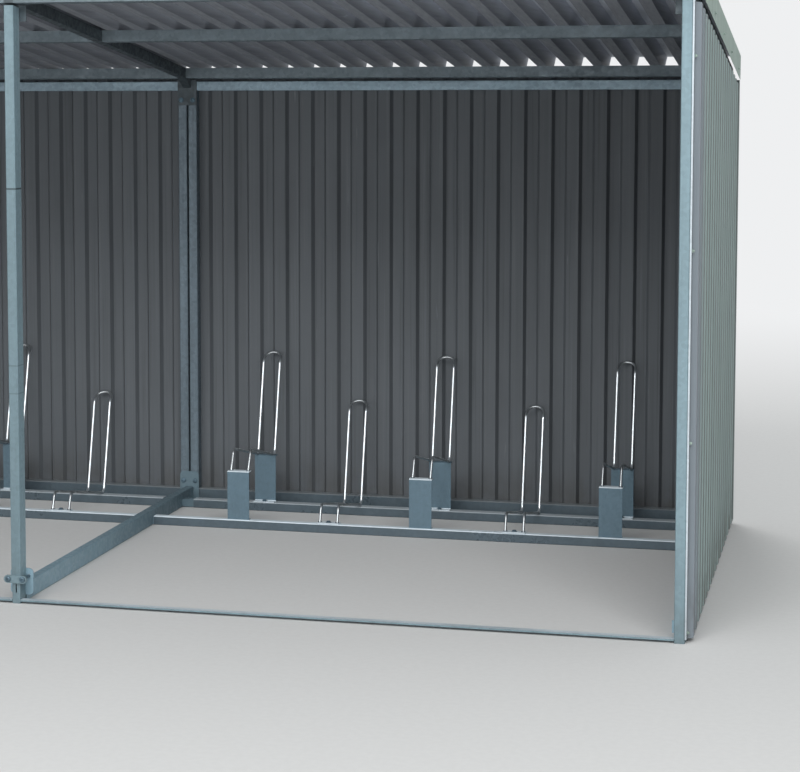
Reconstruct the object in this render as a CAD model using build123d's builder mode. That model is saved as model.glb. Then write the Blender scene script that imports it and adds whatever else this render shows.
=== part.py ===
from build123d import *
import math
import os

# Open-fronted bike shelter of two bays, all in millimetres.
# X runs along the front, Y runs to the back and Z is up from the ground.
# Heights are from the ground, and depths are from the front face of the front posts.

# Driving dimensions of the frame
bay = 2000.0
back_plane = 1770.0
front_height = 1820.0
roof_fall = 1 / 8
member_width = 30.0
tube_wall = 2.0
tube_corner = 2.0
post_depth = 50.0
tie_height = 55.0
rafter_height = 37.0
purlin_depth = 30.0
mid_purlin_y = 785.0
rear_purlin_y = 1705.0

# Plates at the ends of ties and rafters
plate_thickness = 4.0
plate_width = 74.0
plate_corner = 14.0
bolt_hole = 11.0
bolt_spacing = 46.0
front_plate_bottom = 18.0
front_plate_top = 100.0
end_plate_top = 54.0
end_plate_reach = 10.0
rear_plate_top = 112.0
lower_bolt_height = 76.0
head_plate_height = 48.0
rear_head_plate_height = 94.0
rear_head_bolt_drop = 74.0
haunch_length = 70.0
haunch_depth = 30.0
head_gap = 7.0

# Telescopic foot of the middle post and the clamp bar over it
foot_exposed = 62.0
foot_length = 220.0
foot_slot_width = 4.0
foot_slot_length = 26.0
foot_slot_height = 46.0
slide_fit = 0.3
clamp_width = 74.0
clamp_height = 24.0
clamp_thickness = 6.0

# Back wall frame
stile_width = 33.0
stile_depth = 38.0
stile_gap = 6.0
top_rail_height = 35.0
bottom_rail_height = 42.0
bottom_rail_clearance = 5.0

# Trapezoidal sheets
rib_pitch = 100.0
sheet_thickness = 0.8
wall_rib_depth = 17.0
wall_flat = 42.0
wall_crest = 38.0
wall_phase = 28.5
sheet_clearance = 12.0
wall_head_drop = 19.0
roof_rib_depth = 50.0
roof_pan = 36.0
roof_crest = 43.0
roof_phase = 33.0
front_overhang = 60.0
eave_y = 1840.0
sheet_lap_gap = 0.3
batten_thickness = 5.0
batten_width = 30.0
trim_leg = 40.0
trim_thickness = 1.0
verge_top_leg = 60.0
verge_drop = 34.0

# Sill and rack rails
sill_clearance = 7.0
sill_depth = 25.0
sill_thickness = 5.0
rail_height = 32.0
front_rail_y = 1277.0
front_rail_depth = 30.0
rear_rail_y = 1625.0
rear_rail_depth = 40.0
front_rail_gap = 3.5
rear_rail_gap = 45.0
spigot_overlap = 40.0

# Bike holders
holders_per_bay = 5
first_holder = 333.0
holder_pitch = 331.0
rod_diameter = 9.0
rod_facets = 8
rod_spacing = 63.0
rod_bend = 24.0
chord_turn = math.radians(31)
stand_width = 80.0
stand_height = 174.0
stand_plate = 3.0
front_stand_y = 1287.0
front_stand_top = 30.0
front_stand_foot = 20.0
rear_stand_y = 1650.0
rear_stand_top = 30.0
rear_stand_foot = 25.0
base_plate_thickness = 4.0
high_leg_y = 1308.0
high_leg_lean = 36.0
high_run_fall = 0.22
low_leg_y = 1292.0
low_leg_lean = 20.0
low_run_fall = 0.18
hoop_foot_y = 1667.0
hoop_rise = 338.0
hoop_lean = 81.0
hoop_tilt = math.radians(50)
hoop_tail = 50.0

# Sizes that follow from the ones above
slope_angle = math.atan(roof_fall)
frontmost = front_overhang + verge_drop * math.sin(slope_angle)
rearmost = eave_y + (roof_rib_depth + trim_thickness) * math.sin(slope_angle)
y_front = (frontmost - rearmost) / 2
half_member = member_width / 2
frame_x = {"left": -bay, "middle": 0.0, "right": bay}
back_face = back_plane + stile_depth
wall_outside = back_face + wall_rib_depth
side_plane = bay + half_member + batten_thickness
side_outside = side_plane + wall_rib_depth
rib_web = (rib_pitch - wall_flat - wall_crest) / 2
roof_web = (rib_pitch - roof_pan - roof_crest) / 2


BELOW = (Align.CENTER, Align.CENTER, Align.MAX)


def underside(y):
    """Height of the rafters' underside at depth y."""
    return front_height - roof_fall * y


def across(y, z):
    """Plane that looks along the shelter's depth, at depth y and height z."""
    return Plane(origin=(0, y_front + y, z), x_dir=(1, 0, 0), z_dir=(0, -1, 0))


def side(x):
    """Plane that looks along the shelter's length, with depth and height as its axes."""
    return Plane(origin=(x, y_front, 0), x_dir=(0, 1, 0), z_dir=(1, 0, 0))


def save(part, name):
    part.label = name
    export_step(part, f"parts/{name}.step")


def eased(width, height, corner):
    """Rectangle with eased corners in the sketch that is open."""
    a = width / 2
    b = height / 2
    c = corner
    Polygon((a - c, -b), (a, c - b), (a, b - c), (a - c, b), (c - a, b), (-a, b - c), (-a, c - b), (c - a, -b))


def tube_section(width, height):
    """Rectangular hollow section in the sketch that is open."""
    eased(width, height, tube_corner)
    Rectangle(width - 2 * tube_wall, height - 2 * tube_wall, mode=Mode.SUBTRACT)


def sheet_points(width, low, web, depth, phase):
    """Outline of a trapezoidal sheet from x = 0 to width, its low flats on the x axis."""
    shift = sheet_thickness * math.tan(math.atan2(depth, web) / 2)
    top = []
    bottom = []
    first = -1
    last = int(width / rib_pitch) + 2
    for index in range(first, last):
        start = index * rib_pitch + phase
        crest = rib_pitch - low - 2 * web
        top += [
            (start, sheet_thickness),
            (start + low, sheet_thickness),
            (start + low + web, depth),
            (start + low + web + crest, depth),
        ]
        bottom += [
            (start - shift, 0),
            (start + low + shift, 0),
            (start + low + web + shift, depth - sheet_thickness),
            (start + low + web + crest - shift, depth - sheet_thickness),
        ]
    return top + bottom[::-1]


os.makedirs("parts", exist_ok=True)

# Front posts: hollow posts cut to the roof's slope at the top, the middle one over its foot
roof_cut = Plane(origin=(0, y_front, front_height - head_gap), z_dir=(0, roof_fall, 1))
for place, x in frame_x.items():
    post_bottom = foot_exposed if x == 0 else 0
    with BuildPart() as front_post:
        with BuildSketch(Plane.XY.offset(post_bottom)):
            with Locations((x, y_front + post_depth / 2)):
                tube_section(member_width, post_depth)
        extrude(amount=front_height - post_bottom)
        split(bisect_by=roof_cut, keep=Keep.BOTTOM)
    save(front_post.part, f"front_post_{place}")

# Telescopic foot, slotted both ways, that slides in the middle post
foot_width = member_width - 2 * tube_wall - 2 * slide_fit
foot_depth = post_depth - 2 * tube_wall - 2 * slide_fit
with BuildPart() as post_foot:
    with BuildSketch(Plane.XY):
        with Locations((0, y_front + post_depth / 2)):
            eased(foot_width, foot_depth, tube_corner / 2)
            Rectangle(foot_width - 2 * tube_wall, foot_depth - 2 * tube_wall, mode=Mode.SUBTRACT)
    extrude(amount=foot_length)
    with BuildSketch(across(0, foot_slot_height)):
        SlotOverall(foot_slot_length, foot_slot_width, rotation=90)
    extrude(amount=-post_depth, mode=Mode.SUBTRACT)
    with BuildSketch(side(-member_width / 2)):
        with Locations((post_depth / 2, foot_slot_height)):
            SlotOverall(foot_slot_length, foot_slot_width, rotation=90)
    extrude(amount=member_width, mode=Mode.SUBTRACT)
save(post_foot.part, "post_foot")

# Clamp bar across the front of the middle post, with its two bolt holes
with BuildPart() as foot_clamp:
    with BuildSketch(across(0, lower_bolt_height)):
        SlotOverall(clamp_width, clamp_height)
        with GridLocations(bolt_spacing, 0, 2, 1):
            Circle(bolt_hole / 2, mode=Mode.SUBTRACT)
    extrude(amount=clamp_thickness)
save(foot_clamp.part, "foot_clamp")


def plate_span(x):
    """Left and right edge of a frame's plates, which stop flush with an end frame's outer face."""
    left = max(x - plate_width / 2, -bay - half_member)
    right = min(x + plate_width / 2, bay + half_member)
    return left, right


def bolt_places(x):
    """Where a plate is bolted: beside the post on each side that the plate reaches."""
    left, right = plate_span(x)
    return [x + side_x for side_x in (-bolt_spacing / 2, bolt_spacing / 2) if left < x + side_x < right]


def bolted_plate(x, y, bottom, top, bolt_height):
    """Upright plate with rounded top corners and bolt holes, from depth y to the back."""
    left, right = plate_span(x)
    with BuildSketch(across(y, 0)) as outline:
        with Locations(((left + right) / 2, (bottom + top) / 2)):
            Rectangle(right - left, top - bottom)
        fillet(outline.vertices().group_by(Axis.Z)[-1], plate_corner)
        with Locations([(bolt_x, bolt_height) for bolt_x in bolt_places(x)]):
            Circle(bolt_hole / 2, mode=Mode.SUBTRACT)
    extrude(outline.sketch, amount=-plate_thickness)


def welded_plate(x, y):
    """Low plate at the front of an end frame's tie, a little wider than the post on the inner side."""
    inner = x - math.copysign(half_member + end_plate_reach, x)
    outer = x + math.copysign(half_member, x)
    with BuildSketch(across(y, 0)) as outline:
        with Locations(((inner + outer) / 2, (front_plate_bottom + end_plate_top) / 2)):
            Rectangle(abs(outer - inner), end_plate_top - front_plate_bottom)
    extrude(outline.sketch, amount=-plate_thickness)


# Ties on the ground from the front post to the back, with plates and spigots for the rack rails
tie_start = post_depth + plate_thickness
tie_end = back_plane - plate_thickness
spigots = [
    (front_rail_y, front_rail_depth, front_rail_gap),
    (rear_rail_y, rear_rail_depth, rear_rail_gap),
]
for place, x in frame_x.items():
    with BuildPart() as base_tie:
        with BuildSketch(across(tie_start, tie_height / 2)):
            with Locations((x, 0)):
                tube_section(member_width, tie_height)
        extrude(amount=tie_start - tie_end)
        if x == 0:
            bolted_plate(x, post_depth, front_plate_bottom, front_plate_top, lower_bolt_height)
        else:
            welded_plate(x, post_depth)
        bolted_plate(x, tie_end, 0, rear_plate_top, lower_bolt_height)
        for rail_y, rail_depth, rail_gap in spigots:
            stub = 2 * (tube_wall + slide_fit)
            for way in (-1, 1):
                if abs(x + way * bay) > bay:
                    continue
                with BuildSketch(side(x + way * half_member)):
                    with Locations((rail_y + rail_depth / 2, rail_height / 2)):
                        Rectangle(rail_depth - stub, rail_height - stub)
                extrude(amount=way * (rail_gap + spigot_overlap))
    save(base_tie.part, f"base_tie_{place}")

def roof_band(start, end, inset):
    """Outline, seen from the side, of a member between depths start and end, flush with the rafters."""
    start += inset
    end -= inset
    return [
        (start, underside(start) + inset),
        (end, underside(end) + inset),
        (end, underside(end) + rafter_height - inset),
        (start, underside(start) + rafter_height - inset),
    ]


# Rafters: hollow, with upright ends, over the front post and the back wall frame
for place, x in frame_x.items():
    left, right = plate_span(x)
    with BuildPart() as rafter:
        with BuildSketch(side(x - half_member)):
            with BuildLine():
                Polyline(*roof_band(0, back_face, 0), close=True)
            make_face()
        extrude(amount=member_width)
        with BuildSketch(side(x - half_member + tube_wall)):
            with BuildLine():
                Polyline(*roof_band(0, back_face, tube_wall), close=True)
            make_face()
        extrude(amount=member_width - 2 * tube_wall, mode=Mode.SUBTRACT)
        with BuildSketch(side(left)):
            with BuildLine():
                Polyline(
                    (post_depth, underside(post_depth)),
                    (post_depth + plate_thickness, underside(post_depth + plate_thickness)),
                    (post_depth + plate_thickness, underside(post_depth) - head_plate_height),
                    (post_depth, underside(post_depth) - head_plate_height),
                    close=True,
                )
            make_face()
            with BuildLine():
                Polyline(
                    (tie_end, underside(tie_end)),
                    (back_plane, underside(back_plane)),
                    (back_plane, underside(back_plane) - rear_head_plate_height),
                    (tie_end, underside(back_plane) - rear_head_plate_height),
                    close=True,
                )
            make_face()
        extrude(amount=right - left)
        with BuildSketch(side(x - half_member)):
            with BuildLine():
                Polyline(
                    (tie_end, underside(tie_end)),
                    (tie_end, underside(tie_end) - haunch_depth),
                    (tie_end - haunch_length, underside(tie_end - haunch_length)),
                    close=True,
                )
            make_face()
        extrude(amount=member_width)
        bolt_height = underside(back_plane) - rear_head_bolt_drop
        with BuildSketch(across(tie_end, bolt_height)):
            with Locations([(bolt_x, 0) for bolt_x in bolt_places(x)]):
                Circle(bolt_hole / 2)
        extrude(amount=-plate_thickness, mode=Mode.SUBTRACT)
    save(rafter.part, f"rafter_{place}")


clear_bay = bay - member_width
for name, y in (("front_purlins", 0.0), ("mid_purlins", mid_purlin_y), ("rear_purlins", rear_purlin_y)):
    with BuildPart() as purlins:
        for x in (-bay, 0):
            with BuildSketch(side(x + half_member)):
                with BuildLine():
                    Polyline(*roof_band(y, y + purlin_depth, 0), close=True)
                make_face()
                with BuildLine():
                    Polyline(*roof_band(y, y + purlin_depth, tube_wall), close=True)
                make_face(mode=Mode.SUBTRACT)
            extrude(amount=clear_bay)
    save(purlins.part, name)

# Back wall frame: two stiles a bay, which meet at the middle frame, and rails between them
stile_top = underside(back_face)
for place, sign in (("left", -1), ("right", 1)):
    inner = sign * (stile_gap + stile_width) / 2
    outer = sign * (bay + half_member - stile_width / 2)
    with BuildPart() as stiles:
        with BuildSketch(Plane.XY):
            with Locations((inner, y_front + back_plane + stile_depth / 2), (outer, y_front + back_plane + stile_depth / 2)):
                tube_section(stile_width, stile_depth)
        extrude(amount=stile_top)
    save(stiles.part, f"back_stiles_{place}")

rail_start = stile_gap / 2 + stile_width
rail_end = bay + half_member - stile_width
rail_length = rail_end - rail_start
rails = (
    ("back_top_rails", stile_top - top_rail_height, top_rail_height),
    ("back_bottom_rails", bottom_rail_clearance, bottom_rail_height),
)
for name, bottom, height in rails:
    with BuildPart() as back_rails:
        for x in (-rail_end, rail_start):
            with BuildSketch(side(x)):
                with Locations((back_plane + stile_depth / 2, bottom + height / 2)):
                    tube_section(stile_depth, height)
            extrude(amount=rail_length)
    save(back_rails.part, name)

# Back wall sheets, outside the wall frame
back_sheet_top = underside(back_face) + rafter_height / 2
back_sheet_width = side_plane - 2 * sheet_lap_gap
for place, x_start in (("left", -back_sheet_width - sheet_lap_gap), ("right", sheet_lap_gap)):
    phase = (wall_phase - x_start) % rib_pitch
    outline = sheet_points(back_sheet_width, wall_flat, rib_web, wall_rib_depth, phase)
    with BuildPart() as back_wall:
        with BuildSketch(Plane(origin=(x_start, y_front + back_face, sheet_clearance), z_dir=(0, 0, 1))):
            with BuildLine():
                Polyline(*outline, close=True)
            make_face()
        extrude(amount=back_sheet_top - sheet_clearance)
        with BuildSketch(Plane.XY):
            with Locations((x_start, y_front + back_face)):
                Rectangle(back_sheet_width, 2 * wall_rib_depth, align=(Align.MIN, Align.CENTER))
        extrude(amount=front_height, mode=Mode.INTERSECT)
    save(back_wall.part, f"back_wall_{place}")

# Side battens between the end frames and the end wall sheets
with BuildPart() as side_battens:
    for x in (-side_plane, bay + half_member):
        for y in (0, back_plane):
            with BuildSketch(side(x)):
                with BuildLine():
                    Polyline(
                        (y, sheet_clearance),
                        (y + batten_width, sheet_clearance),
                        (y + batten_width, underside(y + batten_width)),
                        (y, underside(y)),
                        close=True,
                    )
                make_face()
            extrude(amount=batten_thickness)
save(side_battens.part, "side_battens")

# End walls: trapezoidal sheets with upright ribs, cut to the roof's slope
for place, sign in (("left", -1), ("right", 1)):
    outline = sheet_points(wall_outside, wall_flat, rib_web, wall_rib_depth, -wall_flat / 2)
    with BuildPart() as end_wall:
        sketch_plane = Plane(origin=(sign * side_plane, y_front, 0), x_dir=(0, 1, 0), z_dir=(0, 0, -sign))
        with BuildSketch(sketch_plane):
            with BuildLine():
                Polyline(*outline, close=True)
            make_face()
        extrude(amount=-sign * 2 * front_height, both=True)
        with BuildSketch(side(sign * side_plane)):
            with BuildLine():
                Polyline(
                    (0, sheet_clearance),
                    (wall_outside, sheet_clearance),
                    (wall_outside, underside(wall_outside) - wall_head_drop),
                    (0, underside(0) - wall_head_drop),
                    close=True,
                )
            make_face()
        extrude(amount=sign * wall_rib_depth, mode=Mode.INTERSECT)
    save(end_wall.part, f"end_wall_{place}")

# Corner trims: folded angles over the sheets' edges at the back corners
with BuildPart() as corner_trims:
    for sign in (-1, 1):
        with BuildSketch(Plane.XY.offset(sheet_clearance)):
            with BuildLine():
                Polyline(
                    (sign * side_outside, y_front + wall_outside),
                    (sign * side_outside, y_front + wall_outside - trim_leg),
                    (sign * (side_outside + trim_thickness), y_front + wall_outside - trim_leg),
                    (sign * (side_outside + trim_thickness), y_front + wall_outside + trim_thickness),
                    (sign * (side_outside - trim_leg), y_front + wall_outside + trim_thickness),
                    (sign * (side_outside - trim_leg), y_front + wall_outside),
                    close=True,
                )
            make_face()
        extrude(amount=underside(wall_outside) - sheet_clearance)
save(corner_trims.part, "corner_trims")

# Roof sheets, on the purlins, with their ribs down the slope
roof_plane_z = underside(eave_y) + rafter_height
roof_plane = Plane(
    origin=(0, y_front + eave_y, roof_plane_z),
    x_dir=(1, 0, 0),
    z_dir=(0, -1, roof_fall),
)
roof_length = (eave_y + front_overhang) / math.cos(slope_angle)
roof_width = side_outside - sheet_lap_gap
for place, x_start in (("left", -side_outside), ("right", sheet_lap_gap)):
    phase = (roof_phase - x_start) % rib_pitch
    outline = sheet_points(roof_width, roof_pan, roof_web, roof_rib_depth, phase)
    with BuildPart() as roof_sheet:
        with BuildSketch(roof_plane):
            with Locations((x_start, 0)):
                with BuildLine():
                    Polyline(*[(x_start + px, py) for px, py in outline], close=True)
                make_face()
        extrude(amount=roof_length)
        with BuildSketch(roof_plane):
            with Locations((x_start, 0)):
                Rectangle(roof_width, 3 * roof_rib_depth, align=(Align.MIN, Align.CENTER))
        extrude(amount=roof_length, mode=Mode.INTERSECT)
    save(roof_sheet.part, f"roof_sheet_{place}")

# Verge flashings: folded angles over the roof sheets' edges and the end walls' heads
with BuildPart() as verge_flashings:
    for sign in (-1, 1):
        inner_face = side_outside + trim_thickness
        with BuildSketch(roof_plane):
            with BuildLine():
                Polyline(
                    (sign * (inner_face - verge_top_leg), roof_rib_depth),
                    (sign * inner_face, roof_rib_depth),
                    (sign * inner_face, -verge_drop),
                    (sign * (inner_face + trim_thickness), -verge_drop),
                    (sign * (inner_face + trim_thickness), roof_rib_depth + trim_thickness),
                    (sign * (inner_face - verge_top_leg), roof_rib_depth + trim_thickness),
                    close=True,
                )
            make_face()
        extrude(amount=roof_length)
save(verge_flashings.part, "verge_flashings")

# Front sills: flat bars just above the ground, between the corner posts and the middle foot
foot_side = foot_width / 2 + slide_fit
post_side = bay - half_member - slide_fit
with BuildPart() as front_sills:
    for start in (-post_side, foot_side):
        with BuildSketch(side(start)):
            with Locations((sill_depth / 2, sill_clearance + sill_thickness / 2)):
                Rectangle(sill_depth, sill_thickness)
        extrude(amount=post_side - foot_side)
save(front_sills.part, "front_sills")

# Rack rails over the ties' spigots
rack = (
    ("front_rack_rails", front_rail_y, front_rail_depth, front_rail_gap),
    ("rear_rack_rails", rear_rail_y, rear_rail_depth, rear_rail_gap),
)
for name, rail_y, rail_depth, rail_gap in rack:
    with BuildPart() as rack_rails:
        for x in (-bay, 0):
            with BuildSketch(side(x + half_member + rail_gap)):
                with Locations((rail_y + rail_depth / 2, rail_height / 2)):
                    tube_section(rail_depth, rail_height)
            extrude(amount=clear_bay - 2 * rail_gap)
    save(rack_rails.part, name)

# Bike holders: high and low ones take turns along both bays
def bent(corners, radii):
    """Route of a bent rod: its corners, each but the ends turned into chords of an arc."""
    route = [corners[0]]
    for before, corner, after, radius in zip(corners, corners[1:], corners[2:], radii):
        back = (before - corner).normalized()
        ahead = (after - corner).normalized()
        turn = math.pi - math.acos(back.dot(ahead))
        centre = corner + (back + ahead).normalized() * (radius / math.cos(turn / 2))
        arm = corner + back * (radius * math.tan(turn / 2)) - centre
        steps = max(2, math.ceil(turn / chord_turn))
        for step in range(steps + 1):
            angle = turn * step / steps
            route.append(centre + arm * math.cos(angle) - back * (radius * math.sin(angle)))
    return route + [corners[-1]]


holder_x = [start + first_holder + k * holder_pitch for start in (-bay, 0) for k in range(holders_per_bay)]
high_places = holder_x[1::2]
low_places = holder_x[0::2]
stand_top = rail_height + stand_height
plate_top = rail_height + base_plate_thickness
half = rod_spacing / 2
for number, x in enumerate(holder_x, 1):
    if x in high_places:
        leg_y, leg_lean, leg_foot, run_fall, rest = high_leg_y, high_leg_lean, stand_top, high_run_fall, stand_top
    else:
        leg_y, leg_lean, leg_foot, run_fall, rest = low_leg_y, low_leg_lean, plate_top, low_run_fall, rail_height
    run_end = rest
    run_top_y = leg_y + leg_lean
    run_top = run_end + run_fall * (hoop_foot_y - run_top_y)
    lean_rate = leg_lean / (run_top - leg_foot)
    hoop_top_y = hoop_foot_y + hoop_lean
    hoop_top = run_end + hoop_rise
    half_route = [
        (half, leg_y - lean_rate * rod_diameter, leg_foot - rod_diameter),
        (half, run_top_y, run_top),
        (half, hoop_foot_y, run_end),
        (half, hoop_top_y, hoop_top),
        (half, hoop_top_y + hoop_tail * math.sin(hoop_tilt), hoop_top + hoop_tail * math.cos(hoop_tilt)),
    ]
    corners = [Vector(x - dx, y_front + y, z) for dx, y, z in half_route]
    corners += [Vector(x + dx, y_front + y, z) for dx, y, z in half_route[::-1]]
    radii = [rod_bend, rod_bend, rod_bend, half - 1, half - 1, rod_bend, rod_bend, rod_bend]
    route = bent(corners, radii)
    # The lowest point of the bends under the hoop seats on the stand or rail
    lowest = min(point.Z for point in route if point.Y > y_front + hoop_foot_y - rod_bend)
    seat = Vector(0, 0, rest + slide_fit + rod_diameter / 2 - lowest)
    with BuildPart() as holder:
        with BuildLine() as rod_line:
            Polyline(*[point + seat for point in route])
        with BuildSketch(Plane(origin=rod_line.line @ 0, x_dir=(1, 0, 0), z_dir=rod_line.line % 0)):
            RegularPolygon(rod_diameter / 2, rod_facets, major_radius=False, rotation=180 / rod_facets)
        sweep(transition=Transition.RIGHT)
        with Locations((x, y_front + leg_y, leg_foot)):
            Box(stand_width, 4 * rod_diameter, 4 * rod_diameter, align=BELOW, mode=Mode.SUBTRACT)
    save(holder.part, f"bike_holder_{number}")


def stand(x, y, top, foot):
    """Upright of bent flat bar, its top bent back by top and its foot bent back, or forward if negative."""
    corner = (Align.MIN, Align.MIN)
    with BuildSketch(side(x - stand_width / 2)) as folded:
        with Locations((y, rail_height)):
            Rectangle(stand_plate, stand_height, align=corner)
        with Locations((min(y, y + foot), rail_height)):
            Rectangle(abs(foot) + (stand_plate if foot < 0 else 0), stand_plate, align=corner)
        with Locations((y, stand_top - stand_plate)):
            Rectangle(top, stand_plate, align=corner)
        chamfer(folded.vertices().sort_by_distance((x - stand_width / 2, y_front + y, stand_top))[0], stand_plate / 2)
    extrude(folded.sketch, amount=stand_width)


with BuildPart() as front_stands:
    for x in high_places:
        stand(x, front_stand_y, front_stand_top, front_stand_foot)
save(front_stands.part, "front_stands")

with BuildPart() as rear_stands:
    for x in high_places:
        stand(x, rear_stand_y, rear_stand_top, -rear_stand_foot)
save(rear_stands.part, "rear_stands")

with BuildPart() as base_plates:
    with BuildSketch(Plane.XY.offset(rail_height)):
        with Locations([(x, y_front + front_rail_y + front_rail_depth / 2) for x in low_places]):
            Rectangle(stand_width, front_rail_depth)
    extrude(amount=base_plate_thickness)
save(base_plates.part, "base_plates")
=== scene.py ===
import math

import bpy
import numpy as np
from bpy.props import FloatProperty, FloatVectorProperty, PointerProperty
from mathutils import Matrix, Vector


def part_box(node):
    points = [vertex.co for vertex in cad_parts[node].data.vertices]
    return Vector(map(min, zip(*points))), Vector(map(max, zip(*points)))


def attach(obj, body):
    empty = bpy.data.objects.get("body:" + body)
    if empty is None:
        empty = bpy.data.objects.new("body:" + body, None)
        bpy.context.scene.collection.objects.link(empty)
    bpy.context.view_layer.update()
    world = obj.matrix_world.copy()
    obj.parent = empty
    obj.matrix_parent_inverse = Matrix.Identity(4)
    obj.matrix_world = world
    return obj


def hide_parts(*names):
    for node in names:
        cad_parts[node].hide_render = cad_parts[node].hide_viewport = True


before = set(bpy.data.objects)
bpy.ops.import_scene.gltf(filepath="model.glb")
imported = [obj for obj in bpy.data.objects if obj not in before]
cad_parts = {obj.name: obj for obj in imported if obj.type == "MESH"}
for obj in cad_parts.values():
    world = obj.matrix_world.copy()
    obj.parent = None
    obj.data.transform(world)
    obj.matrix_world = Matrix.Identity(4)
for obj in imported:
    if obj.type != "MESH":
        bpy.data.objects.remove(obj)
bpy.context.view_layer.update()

bl_info = {
    "name": "Bike Shelter Finish",
    "version": (1, 0, 0),
    "blender": (4, 5, 0),
    "location": "View3D > Sidebar > Shelter",
    "description": "Galvanised finishes, fasteners and a studio for an open-fronted bike shelter",
    "category": "Object",
}

# Places read from the solids, in metres
FRONT_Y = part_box("front_post_middle")[0].y
POST_BACK_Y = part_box("front_post_middle")[1].y
FRAME_X = tuple(sum(v.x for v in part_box(f"front_post_{side}")) / 2 for side in ("left", "middle", "right"))
STILE_FACE_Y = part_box("back_stiles_right")[0].y
STILE_BACK_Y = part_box("back_stiles_right")[1].y
RAFTER_FOOT_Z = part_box("rafter_right")[0].z
RAIL_TOP_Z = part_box("rear_rack_rails")[1].z

# Sizes of the solids that their boxes don't give, in metres
PLATE = 0.004
HEAD_BOLT_RISE = 0.020
STAND_PLATE = 0.003
STAND_FOOT = 0.025
ROOF_FALL = 1 / 8
RAFTER_DEPTH = 0.037
SHEET_SKIN = 0.0008
RIB_PITCH = 0.1
ROOF_RIB_DEPTH = 0.050
WALL_FLAT_X = 0.0495
ROOF_PAN_X = 0.051
BATTEN_DEPTHS = (0.012, 1.790)
PURLIN_DEPTHS = (0.015, 0.800, 1.720)

# Bent rods: diameter, distance between the two, bend of the legs and runs, and the hoop's shape, in metres
ROD = 0.009
ROD_SPACING = 0.063
ROD_BEND = 0.024
HOOP_FOOT_Y = 1.667
HOOP_RISE = 0.338
HOOP_LEAN = 0.081
HOOP_TILT = math.radians(50)
HOOP_TAIL = 0.050
TAIL_DIRECTION = np.array([0.0, math.sin(HOOP_TILT), math.cos(HOOP_TILT)])
REST_GAP = 0.0003
ROD_SIDES = 14
BEND_STEPS = 9

# Depth of a holder's legs at their feet, their lean and the fall of its runs
LOW_LEGS = (1.292, 0.020, 0.18)
HIGH_LEGS = (1.308, 0.036, 0.22)

# Dark lines across the middle post: height, half a width and strength
POST_MARKS = ((1.265, 0.0022, 0.8), (0.730, 0.0015, 0.35), (0.645, 0.0015, 0.3))

# Painted shade on stretches of the ties, towards the back, and of the rods: axis, middle, half a length, blur of the
# ends and strength
TIES_SHADE = ("Y", FRONT_Y + 1.77, 0.80, 0.70, 0.65)
LEGS_SHADE = ("Y", FRONT_Y + 1.315, 0.035, 0.01, 0.6)
RUNS_SHADE = ("Y", FRONT_Y + 1.50, 0.145, 0.01, 0.6)

POST_NODES = ("front_post_left", "front_post_right", "post_foot", "foot_clamp")
TIE_NODES = ("base_tie_left", "base_tie_middle", "base_tie_right")
RAFTER_NODES = ("rafter_left", "rafter_middle", "rafter_right")
PURLIN_NODES = ("front_purlins", "mid_purlins", "rear_purlins")
STILE_NODES = ("back_stiles_left", "back_stiles_right")
BACK_WALL_NODES = ("back_wall_left", "back_wall_right")
END_WALL_NODES = ("end_wall_left", "end_wall_right")
ROOF_NODES = ("roof_sheet_left", "roof_sheet_right")
HOLDER_NODES = tuple(f"bike_holder_{number}" for number in range(1, 11))

# Rails with a painted highlight along their upper edge and on their upper faces, and how bright it is
RAIL_HIGHLIGHTS = (("front_rack_rails", 1.15), ("rear_rack_rails", 0.6), ("back_bottom_rails", 0.28))


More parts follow.
